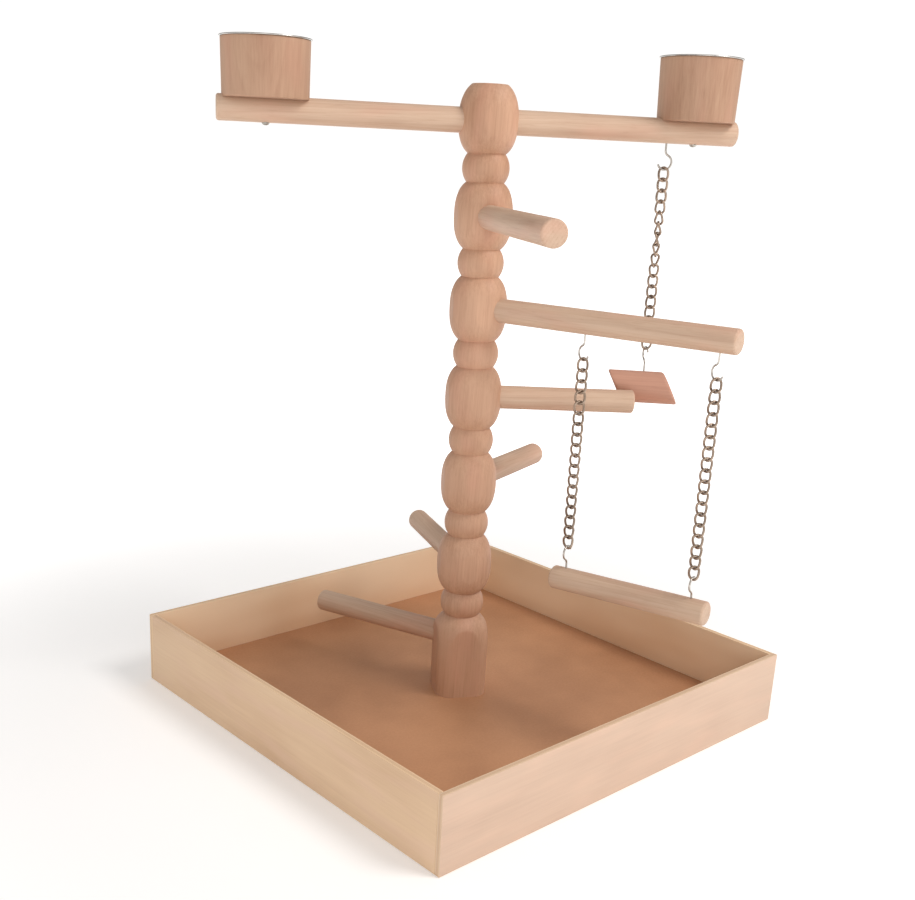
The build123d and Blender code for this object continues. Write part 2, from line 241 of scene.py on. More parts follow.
class Finish(Tree):  # one material
    def __init__(self, name):
        self.material = bpy.data.materials.new(name)
        self.material.use_nodes = True
        self.material.node_tree.nodes.clear()
        super().__init__(self.material.node_tree)
        self.place = self.node("ShaderNodeTexCoord", out=3)

    def grained(self, pith, along):  # positions measured from the heart of the tree, Z along the grain
        turn = Vector(along).to_track_quat("Z", "Y").to_euler()
        return self.node("ShaderNodeMapping", {"vector_type": "TEXTURE"},
                         {"Vector": self.place, "Location": pith, "Rotation": turn})

    def worn(self, low, high):  # 1 on edges that stand proud
        return self.node("ShaderNodeNewGeometry", out=7).between(low, high)

    def close(self, colour, roughness, height=None, bump=0.3, depth=0.0002, fixed=None):
        inputs = {"Base Color": colour, "Roughness": roughness}
        inputs.update(fixed or {})
        if height is not None:
            inputs["Normal"] = self.node("ShaderNodeBump", None,
                                         {"Strength": bump, "Distance": depth, "Height": height})
        shader = self.node("ShaderNodeBsdfPrincipled", None, inputs)
        self.node("ShaderNodeOutputMaterial", None, {"Surface": shader}, out=None)
        return self.material


def makeFloor():
    finish = Finish("studioPaper")
    cloud = finish.grainNoise(finish.place, (3, 3, 3))
    colour = finish.mix((0.93, 0.93, 0.93, 1), (0.95, 0.95, 0.95, 1), cloud)
    away = finish.node("ShaderNodeVectorMath", {"operation": "LENGTH"}, {0: finish.place}, out=1)
    near, far = ((glow, glow, glow, 1) for glow in (light["floorNear"], light["floorFar"]))
    glow = finish.mix(near, far, away.between(*light["glowBetween"]))
    finish.close(colour, 0.9, fixed={"Specular IOR Level": 0.0, "Emission Color": glow,
                                     "Emission Strength": 1.0})
    mesh = bpy.data.meshes.new("studioFloor")
    half = light["floorHalf"]
    corners = [(-half, -half, 0), (half, -half, 0), (half, half, 0), (-half, half, 0)]
    mesh.from_pydata(corners, [], [(0, 1, 2, 3)])
    mesh.materials.append(finish.material)
    floor = bpy.data.objects.new("studioFloor", mesh)
    floor.location.z = cadBox[0].z - light["floorDrop"]
    scene.collection.objects.link(floor)


def makeSky():
    world = bpy.data.worlds.new("studioSky")
    scene.world = world
    world.use_nodes = True
    world.node_tree.nodes.clear()
    sky = Tree(world.node_tree)
    up = sky.node("ShaderNodeTexCoord", out=0)
    height = sky.split(up)[2].between(0.05, 0.75)
    strength = light["skyLow"] + height * (light["skyHigh"] - light["skyLow"])
    seen = sky.node("ShaderNodeLightPath", out=0)
    back = sky.node("ShaderNodeBackground", None,
                    {"Color": (1.0, 0.985, 0.97, 1), "Strength": strength + seen * (1.05 - strength)})
    sky.node("ShaderNodeOutputWorld", None, {"Surface": back}, out=None)


makeFloor()
makeSky()
print("floor and sky made")


# wood
def wood(light, dark, warm, *shares):
    names = ("ring", "streak", "fleck", "tone", "perMetre")
    return {"light": tint(*light), "dark": tint(*dark), "warm": tint(*warm), **dict(zip(names, shares))}


woods = {  # three colours, then the shares of rings, streaks, flecks and tone, and the rings in a metre
    "post": wood((204, 163, 135), (166, 122, 94), (206, 154, 130), 0.10, 0.28, 0.14, 0.70, 330),
    "dowel": wood((208, 180, 156), (176, 138, 114), (214, 164, 142), 0.16, 0.36, 0.18, 0.55, 420),
    "cup": wood((188, 152, 126), (154, 114, 90), (190, 142, 120), 0.09, 0.30, 0.14, 0.65, 300),
    "block": wood((200, 152, 130), (166, 118, 98), (204, 142, 118), 0.10, 0.22, 0.12, 0.6, 320),
}


def woodBody(finish, look, local):  # colour, roughness and height for timber whose grain runs along local Z
    wander = finish.grainNoise(local, (14, 14, 3.2), detail=2.0, out=1)
    wander = finish.node("ShaderNodeVectorMath", {"operation": "MULTIPLY_ADD"},
                         {0: wander, 1: (0.011, 0.011, 0.0), 2: local})
    reach = finish.node("ShaderNodeVectorMath", {"operation": "LENGTH"},
                        {0: finish.scaled(wander, (1, 1, 0.0))}, out=1)
    along = finish.split(local)[2]
    year = (reach + along * 0.018) * look["perMetre"]
    ring = finish.node("ShaderNodeValToRGB", {"stops": [(0.0, (0.15,) * 3 + (1,)), (0.12, (0, 0, 0, 1)),
                                                        (0.62, (0.35,) * 3 + (1,)), (0.93, (1, 1, 1, 1)),
                                                        (1.0, (0.15,) * 3 + (1,))]},
                       {"Fac": year.maths("FRACT", year)})
    streak = finish.grainNoise(local, (230, 230, 7), detail=3.0, roughness=0.6)
    fibre = finish.grainNoise(local, (1300, 1300, 26), detail=2.0)
    fleck = finish.grainNoise(local, (620, 620, 72), detail=1.0).between(0.60, 0.72)
    tone = finish.grainNoise(local, (26, 26, 9), detail=2.0)
    patch = finish.grainNoise(local, (55, 55, 16), detail=1.0).between(0.45, 0.75)
    share = (ring - 0.4) * look["ring"] + (streak - 0.5) * (look["streak"] * 2) + (fibre - 0.5) * 0.4
    share = share + (tone - 0.5) * look["tone"] * 1.6 + 0.36
    colour = finish.mix(look["light"], look["dark"], share.between(-0.05, 1.05))
    colour = finish.mix(colour, look["warm"], patch * 0.35)
    colour = finish.mix(colour, look["dark"], fleck * look["fleck"])
    roughness = 0.56 + (fibre - 0.5) * 0.2 - ring * 0.05
    height = fibre * 0.55 + streak * 0.35 + ring * 0.12 - fleck * 0.25
    return colour, roughness, height


def woodFinish(name, kind, pith, along):  # the heart of the tree lies at pith, and its grain follows along
    finish = Finish(name)
    colour, roughness, height = woodBody(finish, woods[kind], finish.grained(pith, along))
    worn = finish.worn(0.53, 0.62)
    colour = finish.mix(colour, woods[kind]["light"], worn * 0.5)
    return finish.close(colour, roughness + worn * 0.06, height, bump=0.35, depth=0.00016,
                        fixed={"Specular IOR Level": 0.32})


# turned shapes
def ringMesh(name, rings, segments, frameMatrix):
    # rings are (radius, height), bottom first; a radius may be a function of the angle, and 0 is a pole
    points = []
    starts = []
    for radius, height in rings:
        starts.append(len(points))
        if radius == 0:
            points.append(Vector((0, 0, height)))
            continue
        for i in range(segments):
            angle = 2 * math.pi * i / segments
            reach = radius(angle) if callable(radius) else radius
            points.append(Vector((reach * math.cos(angle), reach * math.sin(angle), height)))
    faces = []
    for below in range(len(rings) - 1):
        above = below + 1
        for i in range(segments):
            j = (i + 1) % segments
            if rings[below][0] == 0:
                faces.append((starts[below], starts[above] + j, starts[above] + i))
            elif rings[above][0] == 0:
                faces.append((starts[below] + i, starts[below] + j, starts[above]))
            else:
                faces.append((starts[below] + i, starts[below] + j, starts[above] + j, starts[above] + i))
    mesh = bpy.data.meshes.new(name)
    mesh.from_pydata([frameMatrix @ p for p in points], [], faces)
    mesh.update()
    return mesh


def smooth(mesh, angle):
    mesh.shade_smooth()
    mesh.set_sharp_from_angle(angle=math.radians(angle))
    return mesh


def settle(name, mesh, finish, body, slotName, *nodes):  # a finished piece in its place
    piece = bpy.data.objects.new(name, mesh)
    mesh.materials.clear()
    mesh.materials.append(finish)
    scene.collection.objects.link(piece)
    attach(piece, body)
    if nodes:
        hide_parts(*nodes)


def built(name, made):  # the plain mesh of a finished bmesh
    mesh = bpy.data.meshes.new(name)
    made.to_mesh(mesh)
    made.free()
    return mesh


def joined(name, meshes):
    made = bmesh.new()
    for mesh in meshes:
        made.from_mesh(mesh)
    return built(name, made)


# tray
tray = {
    "light": tint(234, 202, 168),
    "dark": tint(204, 164, 130),
    "rosy": tint(232, 194, 174),
    "frontLight": tint(218, 190, 172),
    "frontDark": tint(194, 162, 146),
    # painted light: the next two colours paint the walls' inner faces paler, as if lit
    "litInsideBright": tint(250, 226, 196),
    "litInsideDim": tint(230, 194, 158),
    "edgeRound": 0.0005,
    "jointGap": 0.00012,
    "fibreLight": tint(204, 152, 114),
    "fibreDark": tint(160, 114, 82),
    # colour of real smudges, and of painted shade cast by the front walls
    "fibreSmudgeAndShade": tint(118, 84, 62),
    "boreWide": 0.0100,
    "boreDeep": 0.006,
    "boreThrough": 0.0031,
    "boreBeyond": 0.01,  # how far the cutter stands past the board
}


def boardMesh(name, low, high, rounding):
    made = bmesh.new()
    bmesh.ops.create_cube(made, size=1)
    size = high - low
    for vertex in made.verts:
        vertex.co = (low + high) / 2 + Vector((vertex.co[k] * size[k] for k in range(3)))
    bmesh.ops.bevel(made, geom=made.edges[:], offset=rounding, segments=2, profile=0.6, affect="EDGES")
    return smooth(built(name, made), 50)


def wallFinish(side):
    finish = Finish("trayWood" + side.capitalize())
    low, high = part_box("tray_" + side)
    size = high - low
    thin = 1 if size.x > size.y else 0  # the axis that runs through the wall
    along = Vector((thin, 1 - thin, 0))
    pith = {"front": (0.3, -0.24, -0.09), "back": (-0.2, 0.27, 0.11),
            "left": (-0.26, 0.1, 0.13), "right": (0.25, -0.2, -0.08)}[side]
    local = finish.grained(pith, along)
    shades = ("frontLight", "frontDark") if side == "front" else ("light", "dark")
    look = {"light": tray[shades[0]], "dark": tray[shades[1]], "warm": tray["rosy"],
            "ring": 0.07, "streak": 0.16, "fleck": 0.06, "tone": 0.60, "perMetre": 210}
    colour, roughness, height = woodBody(finish, look, local)
    across = finish.split(finish.place)[thin]
    inward = across * (-1 if side in ("back", "right") else 1)
    middleLine = abs((low + high)[thin]) / 2
    inside = (inward + middleLine).between(0.0015, 0.0024)  # painted light: the inner face is painted paler, standing in for light falling into the tray
    cloud = finish.grainNoise(local, (16, 16, 5), detail=2.0)
    # painted light: the lit colour that the inner faces are mixed towards
    litInsidePaint = finish.mix(tray["litInsideBright"], tray["litInsideDim"], cloud.between(0.35, 0.75))
    colour = finish.mix(colour, finish.mix(colour, litInsidePaint, 0.92), inside)
    depth = (across - low[thin]) / size[thin]
    ply = depth.maths("ABSOLUTE", depth - 0.5)
    core = 1 - ply.between(0.13, 0.17)
    glue = ply.between(0.12, 0.145) * (1 - ply.between(0.155, 0.18))
    normal = finish.split(finish.node("ShaderNodeTexCoord", out=1))[thin]
    faceOn = normal.maths("ABSOLUTE", normal).between(0.6, 0.8)
    edge = 1 - faceOn
    sawn = finish.grainNoise(finish.place, (900, 900, 60), detail=2.0)
    colour = finish.mix(colour, tint(236, 206, 168), edge * 0.45)
    colour = finish.mix(colour, tray["dark"], edge * core * (0.35 + sawn * 0.3))
    colour = finish.mix(colour, tint(150, 108, 78), edge * glue * 0.75)
    worn = finish.worn(0.52, 0.60)
    colour = finish.mix(colour, tint(238, 208, 172), worn * 0.4)
    return finish.close(colour, roughness, height, bump=0.25, depth=0.00012,
                        fixed={"Specular IOR Level": 0.3})


def boardFinish():
    finish = Finish("trayFibreboard")
    broad = finish.grainNoise(finish.place, (7, 7, 7), detail=3.0, roughness=0.6)
    felt = finish.grainNoise(finish.place, (420, 420, 420), detail=3.0, roughness=0.65)
    speck = finish.grainNoise(finish.place, (1500, 1500, 1500), detail=1.0).between(0.62, 0.72)
    stain = finish.grainNoise(finish.place, (11, 11, 11), detail=4.0, roughness=0.62, distortion=0.7)
    x, y, z = finish.split(finish.place)
    front = (x + y + 0.18) * -3.0  # painted shade: darker towards the -X, -Y corner, which the front walls shade
    # real smudges over the whole floor, deepened by painted shade towards the front corner
    smudgeAndShade = (front.between(-0.1, 1.1) * 0.7 + 0.12) * stain.between(0.42, 0.70)
    colour = finish.mix(tray["fibreLight"], tray["fibreDark"], broad.between(0.3, 0.75) * 0.55 + felt * 0.35)
    colour = finish.mix(colour, tray["fibreSmudgeAndShade"], smudgeAndShade * 0.55)
    colour = finish.mix(colour, tray["fibreDark"], speck * 0.35)
    roughness = 0.52 + (felt - 0.5) * 0.2 + smudgeAndShade * 0.12
    return finish.close(colour, roughness, felt, bump=0.2, depth=0.0001, fixed={"Specular IOR Level": 0.35})


def makeTray():
    for side in ("front", "back", "left", "right"):
        low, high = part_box("tray_" + side)
        if side in ("left", "right"):
            low.y += tray["jointGap"]
            high.y -= tray["jointGap"]
        mesh = boardMesh("tray_" + side, low, high, tray["edgeRound"])
        settle("trayWall" + side.capitalize(), mesh, wallFinish(side), "stand", "tray_wood", "tray_" + side)


def makeBoard():
    low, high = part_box("tray_board")
    inset = Vector((tray["jointGap"], tray["jointGap"], 0))
    mesh = boardMesh("trayFloor", low + inset, high - inset, 0.0003)
    board = bpy.data.objects.new("trayFloorRaw", mesh)
    scene.collection.objects.link(board)
    wide, through, step = tray["boreWide"], tray["boreThrough"], low.z + tray["boreDeep"]
    under, over = low.z - tray["boreBeyond"], high.z + tray["boreBeyond"]
    rings = [(0, under), (wide, under), (wide, step), (through, step), (through, over), (0, over)]
    cutter = bpy.data.objects.new("boreCutter", ringMesh("boreCutter", rings, 48, Matrix.Identity(4)))
    scene.collection.objects.link(cutter)
    cut = board.modifiers.new("bore", "BOOLEAN")
    cut.operation = "DIFFERENCE"
    cut.solver = "EXACT"
    cut.object = cutter
    graph = bpy.context.evaluated_depsgraph_get()
    whole = bpy.data.meshes.new_from_object(board.evaluated_get(graph))
    bpy.data.objects.remove(board)
    bpy.data.objects.remove(cutter)
    settle("trayFloor", smooth(whole, 40), boardFinish(), "stand", "tray_board", "tray_board")


makeTray()
makeBoard()
print("tray made")


# post
post = {
    "barrels": 6,
    "pitch": 0.0755,
    "barrelLength": 0.053,
    "barrelRadius": 0.0244,
    "neckRadius": 0.0156,
    "beadRadius": 0.0194,
    "topRadius": 0.0145,
    "squareHalf": 0.02325,
    "squareCorner": 0.013,
    "squareTurn": -30.0,
    "eased": 0.00025,  # how softly the flats meet the turned surface
    "segments": 144,
    "footEnd": 0.036,  # the square foot ends this far below the shoulder, and curves run on to the neck
    "footSteps": (16, 8),
    "footCurves": (  # radius, and distance below the shoulder
        ((0.027, 0.026), (0.02612, 0.01867), (0.02528, 0.01154), (0.0215, 0.006)),
        ((0.0215, 0.006), (0.01997, 0.00375), (0.01795, 0.00176), (0.0156, 0.0)),
    ),
}


def postProfile(base, top):
    half = post["barrelLength"] / 2
    neck, barrel, bead = post["neckRadius"], post["barrelRadius"], post["beadRadius"]
    slope = (0.8, 0.6)
    lowest = top - half - (post["barrels"] - 1) * post["pitch"]
    shoulder = lowest - post["pitch"] + half
    wide = post["squareHalf"] * 2
    points = [(0, base), (wide * 0.5, base), (wide, base)]
    steps = 10
    points += [(wide, base + (shoulder - post["footEnd"] - base) * (i + 1) / steps) for i in range(steps)]
    curves = [[(radius, shoulder - drop) for radius, drop in curve] for curve in post["footCurves"]]
    points.append(curves[0][0])
    for curve, count in zip(curves, post["footSteps"]):
        points += bezier(*curve, count)
    for i in range(post["barrels"]):
        centre = lowest + i * post["pitch"]
        beadLow = centre - post["pitch"] + half
        beadHigh = centre - half
        rise = (beadHigh - beadLow) / 2
        swell = bead - neck
        radius = (rise * rise + swell * swell) / (2 * swell)
        spread = math.degrees(math.asin(rise / radius))
        points += arc((bead - radius, (beadLow + beadHigh) / 2), radius, -spread, spread, 18)[1:]
        for end, side in ((neck, -1), (post["topRadius"] if i == post["barrels"] - 1 else neck, 1)):
            handle = math.hypot(barrel - end, half) / 3
            outer = (end, centre + side * half)
            outerHandle = (end + slope[0] * handle, centre + side * (half - slope[1] * handle))
            innerHandle = (barrel, centre + side * handle)
            if side < 0:
                points += bezier(outer, outerHandle, innerHandle, (barrel, centre), 22)
            else:
                points += bezier((barrel, centre), innerHandle, outerHandle, outer, 22)
    points.append((post["topRadius"] * 0.5, top))
    points.append((0, top))
    return points


def squareReach(angle):  # from the axis to the rounded square that the post was turned from
    half, corner = post["squareHalf"], post["squareCorner"]
    folded = (angle - math.radians(post["squareTurn"])) % (math.pi / 2)
    folded = min(folded, math.pi / 2 - folded)
    if half * math.tan(folded) <= half - corner:
        return half / math.cos(folded)
    centre = half - corner
    inward = centre * (math.cos(folded) + math.sin(folded))
    return inward + math.sqrt(inward**2 - 2 * centre**2 + corner**2)


def softMin(a, b, width):
    share = max(0.0, min(1.0, 0.5 + 0.5 * (b - a) / width))
    return b * (1 - share) + a * share - width * share * (1 - share)


def makePost():
    low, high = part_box("post")
    rings = []
    for radius, z in postProfile(low.z, high.z):
        if radius == 0:
            rings.append((0, z))
        else:
            rings.append((lambda angle, r=radius: softMin(r, squareReach(angle), post["eased"]), z))
    mesh = ringMesh("post", rings, post["segments"], Matrix.Identity(4))
    finish = woodFinish("postWood", "post", (0.031, -0.052, 0.4), (0.01, -0.015, 1))
    settle("turnedPost", smooth(mesh, 38), finish, "stand", "turned_wood", "post")


makePost()
print("post made")


# perches
perches = {  # azimuth of each perch; its height and reach come from the frame, its thickness from rod
    "perch_upper": 240.0,
    "perch_swing": 283.0,
    "perch_toy_side": 321.0,
    "perch_rear_right": 17.5,
    "perch_rear": 67.0,
    "perch_low": 108.0,
}
rod = {
    "radius": 0.010,
    "endRound": 0.0020,
    "start": 0.016,
    "segments": 72,
    "steps": 26,
    "unevenness": 0.00012,
}


def rodMesh(name, start, end, direction, radius):
    # a dowel with sandpapered ends; its surface wanders by a tenth of a millimetre, as hand sanding leaves it
    length = (end - start).length
    edge = rod["endRound"]
    rings = [(0, 0), (radius * 0.5, 0), (radius - edge, 0)]
    rings += arc((radius - edge, edge), edge, -90, 0, 6)[1:]
    straight = rod["steps"]
    rings += [(radius, edge + (length - 2 * edge) * i / straight) for i in range(1, straight + 1)]
    rings += arc((radius - edge, length - edge), edge, 0, 90, 6)[1:]
    rings += [(radius * 0.5, length + 0.00005), (0, length)]
    mesh = ringMesh(name, rings, rod["segments"], axes(start, direction))
    for vertex in mesh.vertices:
        away = noise.noise(Vector(vertex.co) * 55)
        line = start + direction * (vertex.co - start).dot(direction)
        out = vertex.co - line
        if out.length > radius * 0.6:
            vertex.co = vertex.co - out.normalized() * (0.5 + 0.5 * away) * rod["unevenness"]
    return smooth(mesh, 40)


def makePerches():
    for number, (node, azimuth) in enumerate(perches.items()):
        low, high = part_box(node)
        z = (low.z + high.z) / 2
        direction = polar(1, azimuth)
        corner = Vector((high.x if direction.x > 0 else low.x, high.y if direction.y > 0 else low.y, 0))
        side = Vector((abs(direction.y), abs(direction.x), 0)) * (rod["radius"] - rod["endRound"])
        k = 0 if abs(direction.x) > abs(direction.y) else 1
        reach = (abs(corner[k]) - side[k]) / abs(direction[k])
        start, end = polar(rod["start"], azimuth, z), polar(reach, azimuth, z)
        mesh = rodMesh(node, start, end, direction, rod["radius"])
        aside = polar(0.045, azimuth + 90 + 40 * number, z - 0.03 + 0.011 * number)
        finish = woodFinish("dowelWood" + str(number + 1), "dowel", aside, direction + Vector((0, 0, 0.02)))
        name = "perch" + "".join(word.capitalize() for word in node.split("_")[1:])
        settle(name, mesh, finish, "stand", "dowel_wood", node)
        print(node, "reach", round(reach, 4))


crossbar = {
    "azimuth": -30.5,
    "reachRight": 0.213,
    "reachLeft": 0.216,
}


def makeCrossbar():
    low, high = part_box("crossbar")
    z = (low.z + high.z) / 2
    azimuth = crossbar["azimuth"]
    start = polar(-crossbar["reachLeft"], azimuth, high.z - rod["radius"])
    end = polar(crossbar["reachRight"], azimuth, high.z - rod["radius"])
    mesh = rodMesh("crossbar", start, end, polar(1, azimuth), rod["radius"])
    heart = polar(0.05, azimuth + 90, z + 0.035)
    finish = woodFinish("crossbarWood", "dowel", heart, polar(1, azimuth, 0.012))
    settle("crossbarRod", mesh, finish, "stand", "dowel_wood", "crossbar")


makePerches()
makeCrossbar()
print("perches made")


# cups and bowls
cups = {
    "left": {"footRadius": 0.0338, "pith": (0.035, 0.05)},
    "right": {"footRadius": 0.0320, "pith": (-0.045, 0.04)},
}
cupShape = {
    "wall": 0.004,
    "base": 0.007,
    "edgeRound": 0.0007,
    "segments": 112,
    "bowlGap": 0.0006,
    "sheet": 0.0008,
    "floorRound": 0.008,
    "lip": 0.0006,
    "lipTurn": 0.0012,
    "lipDrop": 0.006,
    "innerDrop": 0.008,
}


def cupRings(foot, mouth, footRadius, mouthRadius):
    edge = cupShape["edgeRound"]
    cavity = footRadius - cupShape["wall"]
    rings = [(0, foot), (footRadius * 0.5, foot)]
    rings += arc((footRadius - edge, foot + edge), edge, -90, 0, 4)
    steps = 14
    for i in range(1, steps):
        share = i / steps
        radius = footRadius + (mouthRadius - footRadius) * share
        rings.append((radius, foot + edge + (mouth - foot - 2 * edge) * share))
    rings += arc((mouthRadius - edge, mouth - edge), edge, 0, 90, 4)
    rings += arc((cavity + edge, mouth - edge), edge, 90, 180, 4)
    rings += [(cavity, foot + cupShape["base"] + 0.001), (cavity - 0.001, foot + cupShape["base"])]
    rings += [(cavity * 0.5, foot + cupShape["base"]), (0, foot + cupShape["base"])]
    return rings


def bowlRings(foot, low, high, footRadius, lipRadius):
    sheet = cupShape["sheet"]
    outer = footRadius - cupShape["wall"] - cupShape["bowlGap"]
    inner = outer - sheet
    corner = cupShape["floorRound"]
    lip, turn = cupShape["lip"], cupShape["lipTurn"]
    rings = [(0, low), ((outer - corner) * 0.5, low)]
    rings += arc((outer - corner, low + corner), corner, -90, 0, 8)
    rings += [(outer, high - turn - cupShape["lipDrop"]), (outer, high - turn)]
    rings += arc((lipRadius - lip, high - lip), lip, -90, 90, 8)
    rings += [(inner + turn, high)]
    rings += arc((inner + turn, high - turn), turn, 90, 180, 5)[1:]
    rings += [(inner, high - cupShape["innerDrop"])]
    rings += arc((outer - corner, low + corner), corner - sheet, 0, -90, 8)
    rings += [((outer - corner) * 0.5, low + sheet), (0, low + sheet)]
    return rings


def steelFinish(name, light, dark, roughness, grain=(260, 260, 260)):
    finish = Finish(name)
    cloud = finish.grainNoise(finish.place, (60, 60, 60), detail=3.0)
    scratch = finish.grainNoise(finish.place, grain, detail=3.0, roughness=0.65)
    worn = finish.worn(0.52, 0.62)
    colour = finish.mix(light, dark, cloud.between(0.3, 0.7) * 0.6 + scratch * 0.4)
    colour = finish.mix(colour, light, worn * 0.5)
    rough = roughness + (scratch - 0.5) * 0.25 + (cloud - 0.5) * 0.12
    return finish.close(colour, rough, scratch, bump=0.12, depth=0.00005, fixed={"Metallic": 1.0})


bowlSteel = steelFinish("bowlSteel", tint(206, 204, 200), tint(168, 165, 160), 0.24, (30, 30, 2600))
wireSteel = steelFinish("wireSteel", tint(206, 200, 192), tint(164, 156, 148), 0.34)
chainSteel = steelFinish("chainSteel", tint(186, 166, 148), tint(136, 118, 104), 0.42)
fastenerSteel = steelFinish("fastenerSteel", tint(190, 186, 178), tint(130, 126, 120), 0.32)


def makeCups():
    for side, made in cups.items():
        low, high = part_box("cup_" + side)
        bowlLow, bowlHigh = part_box("bowl_" + side)
        centre = (low + high) / 2
        place = Matrix.Translation((centre.x, centre.y, 0))
        rings = cupRings(low.z, high.z, made["footRadius"], (high.x - low.x) / 2)
        mesh = smooth(ringMesh("cup", rings, cupShape["segments"], place), 40)
        pith = (centre.x + made["pith"][0], centre.y + made["pith"][1], low.z)
        finish = woodFinish("cupWood" + side.capitalize(), "cup", pith, (0.03, 0.02, 1))
        settle("cup" + side.capitalize(), mesh, finish, "stand", "cup_wood", "cup_" + side)
        rings = bowlRings(low.z, bowlLow.z, bowlHigh.z, made["footRadius"], (bowlHigh.x - bowlLow.x) / 2)
        mesh = smooth(ringMesh("bowl", rings, cupShape["segments"], place), 40)
        settle("bowl" + side.capitalize(), mesh, bowlSteel, "bowl_" + side, "bowl_steel", "bowl_" + side)


makeCups()
print("cups and bowls made")


# hooks
wire = {
    "radius": 0.0008,
    "bowlRadius": 0.0060,
    "neckRadius": 0.004,
    "thread": 0.009,
    "tipAngle": 205.0,
    "swingHookAzimuth": 80.0,
    "segments": 14,
}


def hookLine(exposed):
    # wire centres in a plane: the shank comes up out of the wood at 0, and the bowl is exposed below it
    turn = math.acos(wire["neckRadius"] / (wire["neckRadius"] + wire["bowlRadius"]))
    neck, bowl = wire["neckRadius"], wire["bowlRadius"]
    bowlZ = wire["radius"] - exposed + bowl
    neckZ = bowlZ + (neck + bowl) * math.sin(turn)
    points = [(0, wire["thread"])]
    points += [(0, wire["thread"] + (neckZ - wire["thread"]) * i / 8) for i in range(1, 8)]
    points += arc((neck, neckZ), neck, 180, 180 + math.degrees(turn), 9)
    points += arc((0, bowlZ), bowl, math.degrees(turn), wire["tipAngle"] - 360, 34)[1:]
    return points


def tubeMesh(name, line, radius, place):  # a round wire along points in the XZ plane, with rounded ends
    count = len(line)
    rows = []
    for i, (x, z) in enumerate(line):
        before, after = line[max(i - 1, 0)], line[min(i + 1, count - 1)]
        ahead = Vector((after[0] - before[0], 0, after[1] - before[1])).normalized()
        rows.append((Vector((x, 0, z)), ahead, radius))
    caps = 4
    first, last = rows[0], rows[-1]
    start = [(first[0] - first[1] * radius * math.sin(a), first[1], radius * math.cos(a))
             for a in [math.pi / 2 * (1 - i / caps) for i in range(1, caps)]]
    end = [(last[0] + last[1] * radius * math.sin(a), last[1], radius * math.cos(a))
           for a in [math.pi / 2 * i / caps for i in range(1, caps)]]
    rows = start + rows + end
    points = []
    aside = Vector((0, 1, 0))
    for centre, ahead, size in rows:
        across = aside.cross(ahead)
        for k in range(wire["segments"]):
            angle = 2 * math.pi * k / wire["segments"]
            points.append(centre + (aside * math.cos(angle) + across * math.sin(angle)) * size)
    tips = [first[0] - first[1] * radius, last[0] + last[1] * radius]
    points += tips
    faces = []
    size = wire["segments"]
    for r in range(len(rows) - 1):
        for k in range(size):
            n = (k + 1) % size
            faces.append((r * size + k, (r + 1) * size + k, (r + 1) * size + n, r * size + n))
    lastRow = (len(rows) - 1) * size
    for k in range(size):
        n = (k + 1) % size
        faces.append((len(points) - 2, k, n))
        faces.append((lastRow + k, len(points) - 1, lastRow + n))
    made = bmesh.new()
    for p in points:
        made.verts.new(place @ p)
    made.verts.ensure_lookup_table()
    for face in faces:
        made.faces.new([made.verts[i] for i in face])
    bmesh.ops.recalc_face_normals(made, faces=made.faces)
    return smooth(built(name, made), 60)


def chainAxis(node, z):  # the point at height z on a piece's upright middle line
    centre = middle(node)
    return Vector((centre.x, centre.y, z))


def hangingHook(name, node, woodNode, chainNode, azimuth):
    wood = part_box(woodNode)[0].z
    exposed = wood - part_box(node)[0].z
    place = Matrix.Translation(chainAxis(chainNode, wood)) @ Matrix.Rotation(math.radians(azimuth), 4, "Z")
    mesh = tubeMesh(name, hookLine(exposed), wire["radius"], place)
    settle(name, mesh, wireSteel, "stand", "wire_steel", node)


hangingHook("crossbarHook", "crossbar_hook", "crossbar", "toy_chain", crossbar["azimuth"])
for which in ("inner", "outer"):
    hangingHook("swingHook" + which.capitalize(), "swing_hook_" + which, "perch_swing",
                "swing_chain_" + which, wire["swingHookAzimuth"])
print("hooks made")


# swing bar
swing = {
    "riseInner": 0.0205,
    "riseOuter": 0.0185,
    "overhangInner": 0.012,
    "overhangOuter": 0.014,
    "radius": 0.010,
}


def barFrame():  # the bar hangs on its two hooks, so it tilts until both stand square on it
    inner = Vector(joints["swing_bar_level"]["pos_m"])
    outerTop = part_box("swing_bar_hook_outer")[1].z - wire["radius"]
    outer = chainAxis("swing_chain_outer", outerTop)
    apart = outer - inner
    flat = Vector((apart.x, apart.y, 0)).normalized()
    bowlTilt = math.atan2(apart.z, apart.dot(flat))
    tilt = bowlTilt - math.asin((swing["riseOuter"] - swing["riseInner"]) / apart.length)
    along = flat * math.cos(tilt) + Vector((0, 0, math.sin(tilt)))
    up = flat * -math.sin(tilt) + Vector((0, 0, math.cos(tilt)))
    origin = inner - up * (swing["riseInner"] - wire["radius"])
    return origin, along, up, apart.dot(along)


def makeSwingBar():
    origin, along, up, spacing = barFrame()
    start = origin - along * swing["overhangInner"] - up * swing["radius"]
    end = origin + along * (spacing + swing["overhangOuter"]) - up * swing["radius"]
    mesh = rodMesh("swingBar", start, end, along, swing["radius"])
    finish = woodFinish("swingBarWood", "dowel", start + Vector((0.03, 0.02, 0.035)), along)
    settle("swingBar", mesh, finish, "swing_bar", "dowel_wood", "swing_bar")
    side = up.cross(along)
    for which, x, rise in (("inner", 0, swing["riseInner"]), ("outer", spacing, swing["riseOuter"])):
        turn = Matrix((side * -1, side.cross(up), up * -1)).transposed().to_4x4()
        place = Matrix.Translation(origin + along * x) @ turn
        mesh = tubeMesh("barHook", hookLine(rise), wire["radius"], place)
        settle("swingBarHook" + which.capitalize(), mesh, wireSteel, "swing_bar", "wire_steel",
               "swing_bar_hook_" + which)


makeSwingBar()
print("swing bar made")


